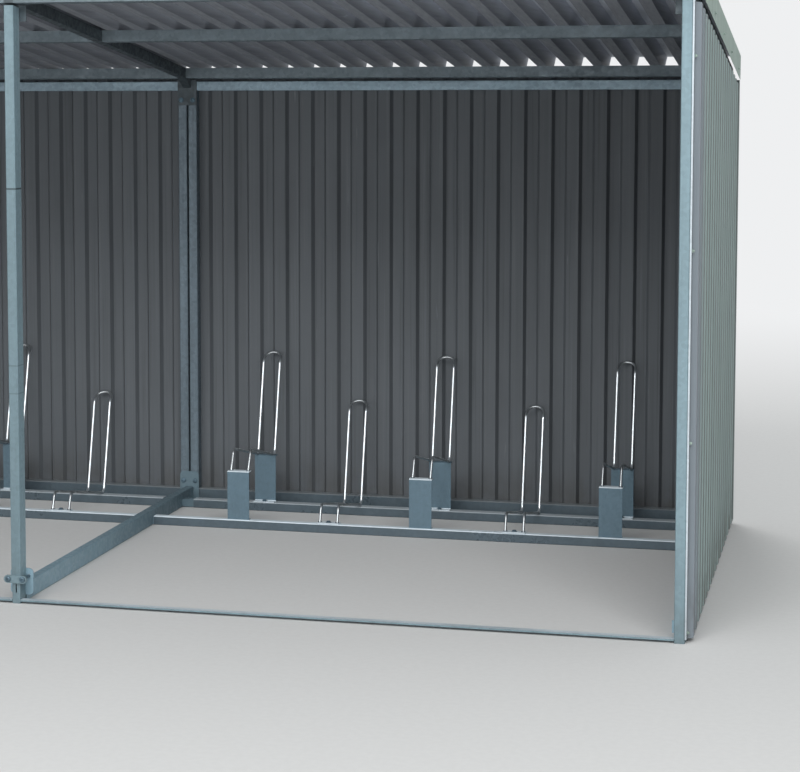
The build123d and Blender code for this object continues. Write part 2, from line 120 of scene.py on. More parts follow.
class ShelterFinishes(bpy.types.PropertyGroup):
    """Colours and grain of the shelter's metals"""

    post_zinc: FloatVectorProperty(
        name="Post zinc", description="Light zinc of the front posts", subtype="COLOR",
        default=(0.185, 0.265, 0.300),
    )
    tie_zinc: FloatVectorProperty(
        name="Tie zinc", description="Zinc of the ties on the ground, at the front", subtype="COLOR",
        default=(0.280, 0.415, 0.490),
    )
    rail_zinc: FloatVectorProperty(
        name="Rail zinc", subtype="COLOR", description="Zinc of the rack rails and of the rails under the back wall",
        default=(0.100, 0.135, 0.160),
    )
    head_zinc: FloatVectorProperty(
        name="Head zinc", description="Zinc of the back wall's top rails", subtype="COLOR",
        default=(0.26, 0.35, 0.41),
    )
    stile_zinc: FloatVectorProperty(
        name="Stile zinc", description="Dull zinc of the back wall's stiles", subtype="COLOR",
        default=(0.125, 0.165, 0.195),
    )
    # Painted highlight: the tone of upper faces, top edges and battens where they catch the light
    highlight_zinc: FloatVectorProperty(
        name="Highlight zinc", description="Bright zinc of upper faces, edges and battens", subtype="COLOR",
        default=(0.62, 0.70, 0.75),
    )
    # The rafters take this zinc at a darker tone than the purlins: painted shade
    rafter_zinc: FloatVectorProperty(
        name="Rafter zinc", description="Zinc of the purlins and, darker still, the rafters", subtype="COLOR",
        default=(0.15, 0.19, 0.215),
    )
    stand_zinc: FloatVectorProperty(
        name="Stand zinc", description="Even zinc of the stands and base plates", subtype="COLOR",
        default=(0.115, 0.180, 0.225),
    )
    rod_zinc: FloatVectorProperty(
        name="Rod zinc", description="Bright zinc of the bent rods", subtype="COLOR",
        default=(0.84, 0.89, 0.92),
    )
    wall_coat: FloatVectorProperty(
        name="Wall coat", description="Grey coat of the wall sheets' inner side", subtype="COLOR",
        default=(0.095, 0.105, 0.115),
    )
    wall_face: FloatVectorProperty(
        name="Wall face", description="Lighter coat of the wall sheets' outer side", subtype="COLOR",
        default=(0.170, 0.215, 0.210),
    )
    # Painted light makes this coat paler inside the ribs, where they are shaded
    roof_coat: FloatVectorProperty(
        name="Roof coat", description="Grey coat of the roof sheets, paler inside the ribs", subtype="COLOR",
        default=(0.250, 0.265, 0.295),
    )
    trim_coat: FloatVectorProperty(
        name="Trim coat", description="Grey-green coat of the flashings", subtype="COLOR",
        default=(0.27, 0.35, 0.31),
    )
    end_tint: FloatVectorProperty(
        name="End tint", description="Blue-grey of the end walls near the front posts", subtype="COLOR",
        default=(0.170, 0.190, 0.222),
    )
    grime: FloatVectorProperty(
        name="Grime", description="Dust and splash low on the shelter", subtype="COLOR",
        default=(0.060, 0.055, 0.045),
    )
    spangle: FloatProperty(
        name="Spangle", description="Size of the zinc's crystals", unit="LENGTH", default=0.011,
    )


class ShelterFasteners(bpy.types.PropertyGroup):
    """Sizes of the bolts, screws and welds"""

    bolt_flats: FloatProperty(
        name="Bolt head", description="Width of a bolt head across its flats", unit="LENGTH", default=0.016,
    )
    bolt_shank: FloatProperty(
        name="Bolt shank", description="Diameter of the frame's bolts", unit="LENGTH", default=0.010,
    )
    bolt_spacing: FloatProperty(
        name="Bolt spacing", description="Distance between the two bolts of a plate", unit="LENGTH", default=0.046,
    )
    screw_flats: FloatProperty(
        name="Screw head", description="Width of a sheet screw's head across its flats", unit="LENGTH",
        default=0.0065,
    )
    weld_bead: FloatProperty(
        name="Weld bead", description="Radius of a weld bead", unit="LENGTH", default=0.0022,
    )


class ShelterStudio(bpy.types.PropertyGroup):
    """Camera, lamps and floor"""

    eye: FloatVectorProperty(
        name="Eye", description="Camera's place, with depth from the front posts", subtype="XYZ", unit="LENGTH",
        default=(2.5048, -6.1809, 1.5509),
    )
    yaw: FloatProperty(name="Yaw", description="Camera's turn to the left", subtype="ANGLE",
                       default=math.radians(14.869))
    pitch: FloatProperty(name="Pitch", description="Camera's tilt upwards", subtype="ANGLE",
                         default=math.radians(-4.993))
    roll: FloatProperty(name="Roll", description="Camera's roll", subtype="ANGLE", default=math.radians(-0.138))
    lens: FloatProperty(name="Lens", description="Focal length on a 36 mm sensor", default=99.17)
    shift: FloatVectorProperty(name="Shift", description="Lens shift in image widths", size=2,
                               default=(0.1389, -0.1259))
    floor_tone: FloatVectorProperty(name="Floor tone", description="Colour of the studio floor", subtype="COLOR",
                                    default=(0.62, 0.62, 0.61))
    backdrop_tone: FloatVectorProperty(name="Backdrop tone", description="Colour seen behind the shelter",
                                       subtype="COLOR", default=(0.86, 0.87, 0.88))
    sky: FloatProperty(name="Sky", description="Strength of the light from all round", default=0.45)
    key: FloatProperty(name="Key lamp", description="Power of the wide lamp high in front", unit="POWER",
                       default=820.0)
    fill: FloatProperty(name="Fill lamp", description="Power of the lamp in front on the left", unit="POWER",
                        default=120.0)
    low: FloatProperty(name="Low lamp", description="Power of the low lamp in front on the right", unit="POWER",
                       default=110.0)
    back: FloatProperty(name="Back lamp", description="Power of the lamp behind", unit="POWER", default=420.0)


def add_node(tree, kind, sockets=None, **settings):
    """Adds a shader node. Settings are its own properties; sockets maps an input to a value or to an output."""
    made = tree.nodes.new(kind)
    for key, value in settings.items():
        setattr(made, key, value)
    for key, value in (sockets or {}).items():
        if isinstance(value, bpy.types.NodeSocket):
            tree.links.new(value, made.inputs[key])
        else:
            made.inputs[key].default_value = value
    return made


def ramped(tree, value, low, high, to_low=0.0, to_high=1.0):
    """Carries value from the range low..high to to_low..to_high, held at the ends."""
    span = add_node(tree, "ShaderNodeMapRange", {
        "Value": value, "From Min": low, "From Max": high, "To Min": to_low, "To Max": to_high,
    }, interpolation_type="SMOOTHSTEP")
    return span.outputs["Result"]


def mixed(tree, amount, first, second):
    """Mixes two colours by amount."""
    mix = add_node(tree, "ShaderNodeMix", data_type="RGBA")
    for socket, value in ((mix.inputs[0], amount), (mix.inputs[6], first), (mix.inputs[7], second)):
        if isinstance(value, bpy.types.NodeSocket):
            tree.links.new(value, socket)
        else:
            socket.default_value = (*value, 1.0) if isinstance(value, tuple) and len(value) == 3 else value
    return mix.outputs[2]


def joined(tree, operation, first, second=0.0):
    """Joins two numbers by an arithmetic operation, or works on the first alone."""
    step = add_node(tree, "ShaderNodeMath", {0: first, 1: second}, operation=operation)
    return step.outputs["Value"]


def away(tree, value, level):
    """Distance of a number from a level."""
    return joined(tree, "ABSOLUTE", joined(tree, "SUBTRACT", value, level))


def scaled(tree, colour, factor):
    """A colour times a number, either of them a value or an output."""
    step = add_node(tree, "ShaderNodeVectorMath", {0: colour, "Scale": factor}, operation="SCALE")
    return step.outputs["Vector"]


def split(tree, vector):
    """The X, Y and Z of a vector, as the outputs of one node."""
    return add_node(tree, "ShaderNodeSeparateXYZ", {"Vector": vector}).outputs


def cloud(tree, place, size, detail, offset=(0.0, 0.0, 0.0)):
    """Noise at place / size + offset, so that its clouds have the given size along each axis, in metres."""
    drawn = add_node(tree, "ShaderNodeVectorMath", {
        0: place, 1: tuple(1 / length for length in size), 2: offset,
    }, operation="MULTIPLY_ADD")
    noise = add_node(tree, "ShaderNodeTexNoise", {
        "Vector": drawn.outputs["Vector"], "Scale": 1.0, "Detail": detail, "Roughness": 0.55,
    })
    return noise.outputs["Fac"]


def tinted(colour, factor):
    """A plain colour times a number, at most white."""
    return tuple(min(1.0, channel * factor) for channel in colour)


def backdrop_rays(tree):
    """1 for rays from the camera, off metal and through glass, which see the plain backdrop."""
    path = add_node(tree, "ShaderNodeLightPath")
    mirrored = joined(tree, "MAXIMUM", path.outputs["Is Glossy Ray"], path.outputs["Is Transmission Ray"])
    return joined(tree, "MAXIMUM", path.outputs["Is Camera Ray"], mirrored)


def start_finish(name):
    """A new material with its tree, object coordinates and shader."""
    finish = bpy.data.materials.new(name)
    finish.use_nodes = True
    tree = finish.node_tree
    tree.nodes.clear()
    place = add_node(tree, "ShaderNodeTexCoord").outputs["Object"]
    shader = add_node(tree, "ShaderNodeBsdfPrincipled")
    output = add_node(tree, "ShaderNodeOutputMaterial")
    tree.links.new(shader.outputs["BSDF"], output.inputs["Surface"])
    return finish, tree, place, shader


def roughen(tree, shader, relief, strength):
    """Fine relief of the surface, under a millimetre deep."""
    bump = add_node(tree, "ShaderNodeBump", {"Height": relief, "Strength": strength, "Distance": 0.0008})
    tree.links.new(bump.outputs["Normal"], shader.inputs["Normal"])


def zinc_finish(look, name, colour, spangle=None, metal=0.35, gloss=(0.38, 0.62), runs=(0.018, 0.018, 0.9),
                contrast=1.0, dirt=0.3, grain=0.22, sides=1.0, top_light_tone=None, upward=1.0, highlight_bands=(), marks=(),
                shaded_stretches=()):
    """Hot-dip zinc: crystals of random tone, clouds of white bloom, runs down the piece and splash near the ground.

    gloss is the range of the roughness, runs the size of the runs along each axis, and sides paints light on the
    faces that look along X by making them brighter by that factor. Faces that point upwards have a share (upward) of
    a tone that paints the light on them, mostly a painted highlight, which also covers the painted highlight bands,
    given as a height and half a width. Marks are dark lines across the piece, given as a height, half a width and a
    strength.
    Stretches of painted shade have an axis, a middle, half a length, a blur and a strength.
    """
    colour = tuple(colour)
    dark = tinted(colour, 0.16)
    finish, tree, place, shader = start_finish(name)
    spot = split(tree, place)
    facing = split(tree, add_node(tree, "ShaderNodeTexCoord").outputs["Normal"])
    cells = add_node(tree, "ShaderNodeTexVoronoi", {"Vector": place, "Scale": 1 / (spangle or look.spangle)})
    crystal = add_node(tree, "ShaderNodeSeparateColor", {"Color": cells.outputs["Color"]}).outputs
    bloom = cloud(tree, place, (0.35, 0.35, 0.5), 6.0)
    run = cloud(tree, place, runs, 3.0, offset=(3.1, 1.7, 0.4))

    tone = mixed(tree, ramped(tree, bloom, 0.35, 0.68), tinted(colour, 1 - 0.16 * contrast),
                 tinted(colour, 1 + 0.12 * contrast))
    tone = mixed(tree, ramped(tree, run, 0.52, 0.74, 0.0, 0.55 * contrast), tone, tinted(colour, 1.38))
    tone = mixed(tree, ramped(tree, run, 0.46, 0.30, 0.0, 0.45 * contrast), tone, tinted(colour, 0.62))
    swing = 0.14 * contrast
    tone = scaled(tree, tone, ramped(tree, crystal["Red"], 0.0, 1.0, 1 - swing, 1 + swing))
    # Painted light: faces that look along X get a brighter tone
    if sides != 1.0:
        across = ramped(tree, joined(tree, "ABSOLUTE", facing["X"]), 0.6, 0.9)
        tone = mixed(tree, across, tone, scaled(tree, tone, sides))
    shader.inputs["Metallic"].default_value = metal
    # Painted light on the tops: upward faces, in patches, and the given bands take a tone for the light they catch
    # and lose their metal; mostly a painted highlight, painted shade where that tone is darker
    if top_light_tone is not None:
        patches = ramped(tree, bloom, 0.30, 0.60, 0.7 * upward, upward)
        painted_light_cover = joined(tree, "MULTIPLY", ramped(tree, facing["Z"], 0.6, 0.9), patches)
        for height, half_width in highlight_bands:
            band = ramped(tree, away(tree, spot["Z"], height), half_width * 1.2, half_width * 0.8)
            painted_light_cover = joined(tree, "MAXIMUM", painted_light_cover, band)
        tone = mixed(tree, painted_light_cover, tone, tuple(top_light_tone))
        tree.links.new(ramped(tree, painted_light_cover, 0.0, 1.0, metal, 0.0), shader.inputs["Metallic"])
    patchy = cloud(tree, place, (0.05, 0.05, 0.07), 5.0, offset=(0.0, 2.0, 5.0))
    splash = joined(tree, "MULTIPLY", ramped(tree, spot["Z"], 0.16, 0.0), ramped(tree, patchy, 0.38, 0.66))
    tone = mixed(tree, joined(tree, "MULTIPLY", splash, dirt), tone, tuple(look.grime))
    for height, half_width, strength in marks:
        band = ramped(tree, away(tree, spot["Z"], height), half_width * 1.6, half_width * 0.6, 0.0, strength)
        tone = mixed(tree, band, tone, dark)
    # Painted shade: each stretch is mixed towards the dark tone
    for axis, centre, half_length, blur, strength in shaded_stretches:
        off = away(tree, spot[axis], centre)
        band = ramped(tree, off, half_length + blur, half_length - blur, 0.0, strength)
        tone = mixed(tree, band, tone, dark)
    tree.links.new(tone, shader.inputs["Base Color"])

    sheen = joined(tree, "ADD", ramped(tree, crystal["Green"], 0.0, 1.0, *gloss),
                   ramped(tree, run, 0.4, 0.7, 0.06, -0.06))
    tree.links.new(sheen, shader.inputs["Roughness"])
    pits = cloud(tree, place, (0.004, 0.004, 0.004), 3.0)
    relief = joined(tree, "ADD", joined(tree, "MULTIPLY", crystal["Blue"], 0.35), pits)
    roughen(tree, shader, relief, grain)
    return finish


def sheet_finish(look, name, colour, along, ground_splash=True, outer=None, front_tint=None, channels=None):
    """Coated trapezoidal sheet: tones that change from rib to rib, water runs along the ribs and specks.

    outer is an axis and a colour: the sides that look outwards along that axis get this colour. With front_tint, the
    colour of the part near the front post, the other rib flanks get painted light: those that look forwards are
    paler, a painted highlight, and the rest darker, painted shade. channels is the height of the roof's pans at Y =
    0 and the ribs' depth: painted light makes the coat paler up into the ribs, where they are shaded, and a little
    darker on the pans.
    """
    def ribwise(across, length):
        """Size of clouds that are drawn out along the ribs."""
        return (across, across, length) if along == "Z" else (across, length, across)

    base = tuple(colour)
    finish, tree, place, shader = start_finish(name)
    spot = split(tree, place)
    rib = cloud(tree, place, ribwise(0.07, 4.0), 1.0)
    run = cloud(tree, place, ribwise(0.010, 0.8), 3.0, offset=(1.3, 4.1, 0.2))
    bloom = cloud(tree, place, (0.45, 0.45, 0.6), 6.0, offset=(7.0, 2.0, 1.0))
    streak = cloud(tree, place, ribwise(0.016, 0.22), 2.0, offset=(5.2, 0.6, 3.3))
    # Painted light: the coat is paler up into the ribs, where they are shaded, and darker on the pans
    if channels is not None:
        level, depth = channels
        upright = joined(tree, "ADD", spot["Z"], joined(tree, "MULTIPLY", spot["Y"], ROOF_FALL))
        above = joined(tree, "SUBTRACT", upright, level)
        base = mixed(tree, ramped(tree, above, 0.0, depth), tinted(base, 0.80), tinted(base, 2.0))
    if outer is not None:
        axis, face = outer
        face = tuple(face)
        facing = split(tree, add_node(tree, "ShaderNodeTexCoord").outputs["Normal"])
        outward = joined(tree, "MULTIPLY", facing[axis], joined(tree, "SIGN", spot[axis]))
        if front_tint is not None:
            # Painted light on the rib flanks: those that look forwards are paler, the rest darker
            near = ramped(tree, spot["Y"], FRONT_Y + 0.05, FRONT_Y + 0.32, 0.8, 0.0)
            flank = ramped(tree, facing["Y"], -0.2, -0.4)
            flanked = mixed(tree, flank, tinted(face, 0.5), tinted(face, 1.4))
            face = mixed(tree, near, flanked, tuple(front_tint))
        base = mixed(tree, joined(tree, "GREATER_THAN", outward, 0.1), base, face)

    tone = base
    for pattern, low, high, share, factor in (
        (rib, 0.34, 0.66, 1.0, 1.10), (bloom, 0.36, 0.70, 0.5, 1.22), (run, 0.55, 0.78, 0.4, 1.5),
        (run, 0.44, 0.26, 0.4, 0.65), (streak, 0.70, 0.80, 0.5, 2.4),
    ):
        tone = mixed(tree, ramped(tree, pattern, low, high, 0.0, share), tone, scaled(tree, base, factor))
    if ground_splash:
        patchy = cloud(tree, place, (0.08, 0.08, 0.10), 6.0, offset=(0.0, 2.0, 5.0))
        splash = joined(tree, "MULTIPLY", ramped(tree, spot["Z"], 0.22, 0.02), ramped(tree, patchy, 0.34, 0.62))
        tone = mixed(tree, joined(tree, "MULTIPLY", splash, 0.4), tone, tuple(look.grime))
    tree.links.new(tone, shader.inputs["Base Color"])
    shader.inputs["Specular IOR Level"].default_value = 0.3
    tree.links.new(ramped(tree, run, 0.3, 0.7, 0.66, 0.50), shader.inputs["Roughness"])

    waves = cloud(tree, place, (0.05, 0.05, 0.05), 2.0)
    fine = cloud(tree, place, (0.003, 0.003, 0.003), 2.0)
    roughen(tree, shader, joined(tree, "ADD", joined(tree, "MULTIPLY", waves, 3.0), fine), 0.16)
    return finish


def dress(nodes, finish):
    """Gives CAD nodes one finish."""
    for name in nodes:
        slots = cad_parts[name].data.materials
        slots.clear()
        slots.append(finish)


def middle(node):
    """Middle of a solid's box."""
    return [(low + high) / 2 for low, high in zip(*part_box(node))]


def grid_faces(rows, columns):
    """Quads between neighbouring rows of points, each row closed into a ring."""
    row, column = np.meshgrid(np.arange(rows - 1), np.arange(columns), indexing="ij")
    beside = (column + 1) % columns
    return np.stack([
        row * columns + column, row * columns + beside, (row + 1) * columns + beside, (row + 1) * columns + column,
    ], axis=-1).reshape(-1, 4)


def turned(rings, sides):
    """A closed shape turned about +Z, from rings of (radius, height, share of hexagon).

    Each ring is radius * (cos a, sin a) at its height. Where the share of hexagon is 1, the radius is the
    apothem divided by the cosine of the angle to the nearest flat's middle, and where it is 0 it is a circle.
    """
    radius, height, hexed = np.array(rings, float).T
    angle = np.arange(sides) * 2 * np.pi / sides
    to_flat = (angle + np.pi / 6) % (np.pi / 3) - np.pi / 6
    swell = 1 + hexed[:, None] * (1 / np.cos(to_flat)[None, :] - 1)
    reach = radius[:, None] * swell
    points = np.stack([
        reach * np.cos(angle), reach * np.sin(angle), np.repeat(height[:, None], sides, axis=1),
    ], axis=-1).reshape(-1, 3)
    first = np.arange(sides)[::-1]
    last = (len(rings) - 1) * sides + np.arange(sides)
    return points, grid_faces(len(rings), sides), (first, last)


def ring_bead(radius, bead, ripples, around=36, section=8):
    """A weld bead round a foot: a torus whose bead radius swells as bead * (1 + 0.16 sin(ripples u))."""
    u, v = np.meshgrid(np.arange(around) * 2 * np.pi / around, np.arange(section) * 2 * np.pi / section,
                       indexing="ij")
    swell = bead * (1 + 0.16 * np.sin(ripples * u))
    reach = radius + swell * np.cos(v)
    points = np.stack([reach * np.cos(u), reach * np.sin(u), swell * np.sin(v)], axis=-1).reshape(-1, 3)
    row, column = np.meshgrid(np.arange(around), np.arange(section), indexing="ij")
    next_row, next_column = (row + 1) % around, (column + 1) % section
    quads = np.stack([
        row * section + column, next_row * section + column,
        next_row * section + next_column, row * section + next_column,
    ], axis=-1).reshape(-1, 4)
    return points, quads, ()


TURNS = {
    "+Z": np.eye(3),
    "-Y": np.array([[1, 0, 0], [0, 0, -1], [0, 1, 0]], float),
    "+Y": np.array([[1, 0, 0], [0, 0, 1], [0, -1, 0]], float),
    "+X": np.array([[0, 0, 1], [0, 1, 0], [-1, 0, 0]], float),
    "-X": np.array([[0, 0, -1], [0, 1, 0], [1, 0, 0]], float),
}
ROOF_TURN = np.array(Matrix.Rotation(math.atan(ROOF_FALL), 3, "X").inverted())


def add_piece(name, points, faces, finish, sharp):
    """A smooth object with one finish, whose edges are sharp where they turn by more than sharp degrees."""
    mesh = bpy.data.meshes.new(name)
    mesh.from_pydata(points.tolist(), [], faces)
    mesh.polygons.foreach_set("use_smooth", np.ones(len(faces), bool))
    mesh.set_sharp_from_angle(angle=math.radians(sharp))
    mesh.materials.append(finish)
    piece = bpy.data.objects.new(name, mesh)
    bpy.context.scene.collection.objects.link(piece)
    return piece


def set_out(name, shape, places, finish):
    """Repeats one shape at many places, each with its own turn, as one object that rides on the shelter.

    A point p of the shape goes to turn @ p + place, worked out for all places at once.
    """
    points, quads, caps = shape
    turns = np.array([turn for turn, place in places])
    spots = np.array([place for turn, place in places], float)
    moved = (np.einsum("nij,pj->npi", turns, points) + spots[:, None, :]).reshape(-1, 3)
    shifts = np.arange(len(places)) * len(points)
    faces = (quads[None, :, :] + shifts[:, None, None]).reshape(-1, 4).tolist()
    for cap in caps:
        faces += (cap[None, :] + shifts[:, None]).tolist()
    piece = add_piece(name, moved, faces, finish, 35)
    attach(piece, "root")


def roof_height(depth):
    """Height of the rafters' underside at a depth from the front posts."""
    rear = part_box("rear_purlins")
    return rear[1].z - RAFTER_DEPTH - ROOF_FALL * (depth - (rear[0].y - FRONT_Y))


def bent_route(corners, radii, steps):
    """Points and directions of a route with rounded corners.

    At a corner with directions a in and b out and a turn of t, the arc of radius r starts r tan(t/2) before the
    corner. Its points are start + r (sin(f) a + (1 - cos(f)) n) for f from 0 to t, with n = (b - a cos t) / sin t,
    and its direction is cos(f) a + sin(f) n.
    """
    corners = np.array(corners, float)
    legs = np.diff(corners, axis=0)
    legs /= np.linalg.norm(legs, axis=1, keepdims=True)
    into, out = legs[:-1, None, :], legs[1:, None, :]
    turn = np.arccos(np.clip((into * out).sum(-1, keepdims=True), -1, 1))
    radius = np.array(radii, float)[:, None, None]
    inward = (out - into * np.cos(turn)) / np.sin(turn)
    start = corners[1:-1, None, :] - into * radius * np.tan(turn / 2)
    part = turn * np.linspace(0, 1, steps)[None, :, None]
    points = start + radius * (np.sin(part) * into + (1 - np.cos(part)) * inward)
    along = np.cos(part) * into + np.sin(part) * inward
    points = np.concatenate([corners[:1], points.reshape(-1, 3), corners[-1:]])
    along = np.concatenate([legs[:1], along.reshape(-1, 3), legs[-1:]])
    return points, along


def rod_line(number):
    """Middle line and directions of a holder's rod, about its own X, and the height of its feet.

    A leg leans back to a run that falls to the rear rail, a hoop rises from there, and the way back mirrors it.
    Even holders stand high and odd ones low. The whole line is lifted so that its lowest bend rests on the rail.
    """
    high = number % 2 == 0
    leg_y, leg_lean, run_fall = HIGH_LEGS if high else LOW_LEGS
    leg_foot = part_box("front_stands" if high else "base_plates")[1].z
    rest = leg_foot if high else RAIL_TOP_Z
    half = ROD_SPACING / 2
    run_top = rest + run_fall * (HOOP_FOOT_Y - leg_y - leg_lean)
    hoop_top = np.array([half, HOOP_FOOT_Y + HOOP_LEAN, rest + HOOP_RISE])
    one_side = np.array([
        (half, leg_y, leg_foot), (half, leg_y + leg_lean, run_top), (half, HOOP_FOOT_Y, rest),
        hoop_top, hoop_top + HOOP_TAIL * TAIL_DIRECTION,
    ])
    corners = np.concatenate([one_side, one_side[::-1] * (-1, 1, 1)])
    radii = [ROD_BEND] * 3 + [half - 0.001] * 2 + [ROD_BEND] * 3
    points, along = bent_route(corners, radii, BEND_STEPS)
    lowest = points[points[:, 1] > HOOP_FOOT_Y - ROD_BEND, 2].min()
    points[:, 2] += rest + REST_GAP + ROD / 2 - lowest
    return points, along, leg_foot


def rod_piece(number, x, finish):
    """One holder's bent rod as a round tube.

    A ring is centre + radius (cos(v) side + sin(v) rise), where rise is the direction crossed with X, and its
    end rings are slid along the legs to a level cut.
    """
    points, along, leg_foot = rod_line(number)
    first_half = np.arange(len(points)) < len(points) // 2
    rise = np.cross(along, (1.0, 0.0, 0.0)) * np.where(first_half, 1.0, -1.0)[:, None]
    length = np.linalg.norm(rise, axis=1, keepdims=True)
    rise = np.where(length < 1e-4, np.cross(TAIL_DIRECTION, (1.0, 0.0, 0.0)), rise / np.maximum(length, 1e-9))
    side = np.cross(rise, along)
    around = np.arange(ROD_SIDES) * 2 * np.pi / ROD_SIDES
    rings = points[:, None, :] + ROD / 2 * (
        np.cos(around)[None, :, None] * side[:, None, :] + np.sin(around)[None, :, None] * rise[:, None, :]
    )
    for end in (0, -1):
        slide = (leg_foot - rings[end, :, 2]) / along[end, 2]
        rings[end] += slide[:, None] * along[end]
    last = (len(points) - 1) * ROD_SIDES
    caps = [list(range(ROD_SIDES))[::-1], list(range(last, last + ROD_SIDES))]
    faces = grid_faces(len(points), ROD_SIDES).tolist() + caps
    return add_piece(f"bent_rod_{number}", rings.reshape(-1, 3) + (x, FRONT_Y, 0.0), faces, finish, 40)


class SHELTER_OT_tube_finish(bpy.types.Operator):
    """Galvanises the posts, ties, rafters, purlins, wall frame, rails and sills"""

    bl_idname = "shelter.tube_finish"
    bl_label = "Galvanise the Frame"

    def execute(self, context):
        look = context.scene.shelter_finishes
        post = {"metal": 0.4, "gloss": (0.34, 0.50), "contrast": 0.35}
        dress(POST_NODES, zinc_finish(look, "Post zinc", look.post_zinc, **post))
        # The middle post, at a darker tone, gets painted light on its faces that look along X
        dress(("front_post_middle",), zinc_finish(
            look, "Marked post zinc", tinted(look.post_zinc, 0.85), sides=1.8, marks=POST_MARKS, **post,
        ))
        # The sill's upper faces get a painted highlight
        dress(("front_sills",), zinc_finish(
            look, "Sill zinc", look.post_zinc, contrast=0.5, dirt=0.1, top_light_tone=tinted(look.highlight_zinc, 0.8),
        ))
        # The ties' tops get a darker tone as painted shade, and painted shade darkens them towards the back
        dress(TIE_NODES, zinc_finish(
            look, "Tie zinc", look.tie_zinc, metal=0.3, runs=(0.2, 0.5, 0.2), contrast=0.2, dirt=0.08, grain=0.03,
            top_light_tone=tinted(look.tie_zinc, 0.70), shaded_stretches=(TIES_SHADE,),
        ))
        # Painted highlight along each rail's top edge and on its upper faces
        for node, highlight_tone in RAIL_HIGHLIGHTS:
            dress((node,), zinc_finish(
                look, f"{node} zinc", look.rail_zinc, metal=0.4, gloss=(0.30, 0.38), runs=(0.25, 0.20, 0.20),
                contrast=0.3, dirt=0.08, grain=0.08, top_light_tone=tinted(look.highlight_zinc, highlight_tone),
                highlight_bands=((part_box(node)[1].z, 0.003),),
            ))
        dress(STILE_NODES, zinc_finish(look, "Stile zinc", look.stile_zinc, contrast=0.6))
        dress(("back_top_rails",), zinc_finish(
            look, "Head zinc", look.head_zinc, runs=(0.4, 0.4, 0.03), contrast=0.6,
        ))
        # The rafters get a darker copy of the purlins' zinc as painted shade
        for nodes, tone in ((RAFTER_NODES, 0.45), (PURLIN_NODES, 0.9)):
            dress(nodes, zinc_finish(
                look, f"{nodes[0]} zinc", tinted(look.rafter_zinc, tone), runs=(0.05, 0.05, 0.05), contrast=0.5,
            ))
        return {"FINISHED"}


class SHELTER_OT_sheet_finish(bpy.types.Operator):
    """Coats the wall and roof sheets, the flashings and the trims, and galvanises the battens"""

    bl_idname = "shelter.sheet_finish"
    bl_label = "Coat the Sheets"

    def execute(self, context):
        look = context.scene.shelter_finishes
        dress(BACK_WALL_NODES, sheet_finish(
            look, "Back wall coat", look.wall_coat, "Z", outer=("Y", look.wall_face),
        ))
        dress(END_WALL_NODES, sheet_finish(
            look, "End wall coat", look.wall_coat, "Z", outer=("X", look.wall_face), front_tint=look.end_tint,
        ))
        low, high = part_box("roof_sheet_left")
        dress(ROOF_NODES, sheet_finish(
            look, "Roof coat", look.roof_coat, "Y", ground_splash=False, outer=("Z", look.roof_coat),
            channels=(low.z + ROOF_FALL * high.y, ROOF_RIB_DEPTH),
        ))
        # The battens take a share of the highlight tone: a painted highlight along them
        dress(("side_battens",), zinc_finish(look, "Batten zinc", tinted(look.highlight_zinc, 0.75), contrast=0.4))
        dress(("verge_flashings",), sheet_finish(look, "Verge coat", look.trim_coat, "Z", ground_splash=False))
        dress(("corner_trims",), sheet_finish(look, "Corner coat", look.wall_face, "Z"))
        return {"FINISHED"}


class SHELTER_OT_holder_finish(bpy.types.Operator):
    """Draws the wheel holders' rods round and galvanises them and their stands"""

    bl_idname = "shelter.holder_finish"
    bl_label = "Galvanise the Holders"

    def execute(self, context):
        look = context.scene.shelter_finishes
        # Painted shade darkens the rods' legs, their runs and the tops of the hoops
        finishes = [zinc_finish(
            look, f"{kind} rod zinc", look.rod_zinc, metal=0.95, gloss=(0.32, 0.38), contrast=0.2, dirt=0.1,
            grain=0.03, shaded_stretches=(LEGS_SHADE, RUNS_SHADE, ("Z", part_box(node)[1].z, 0.03, 0.01, 0.6)),
        ) for kind, node in zip(("Low", "High"), HOLDER_NODES)]
        for number, node in enumerate(HOLDER_NODES, 1):
            rod = rod_piece(number, middle(node)[0], finishes[(number + 1) % 2])
            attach(rod, "root")
            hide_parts(node)
        # Painted highlight on the stands' upward faces (none on the rear stands) and in a band along the front
        # stands' and base plates' top edge and the rear stands' foot
        for node, highlight_z, upward in (
            ("front_stands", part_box("front_stands")[1].z, 1.0),
            ("rear_stands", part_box("rear_stands")[0].z + 0.002, 0.0),
            ("base_plates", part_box("base_plates")[1].z, 0.3),
        ):
            dress((node,), zinc_finish(
                look, f"{node} zinc", look.stand_zinc, contrast=0.2, dirt=0.1, grain=0.08,
                top_light_tone=look.highlight_zinc, upward=upward, highlight_bands=((highlight_z, 0.0035),),
            ))
        return {"FINISHED"}


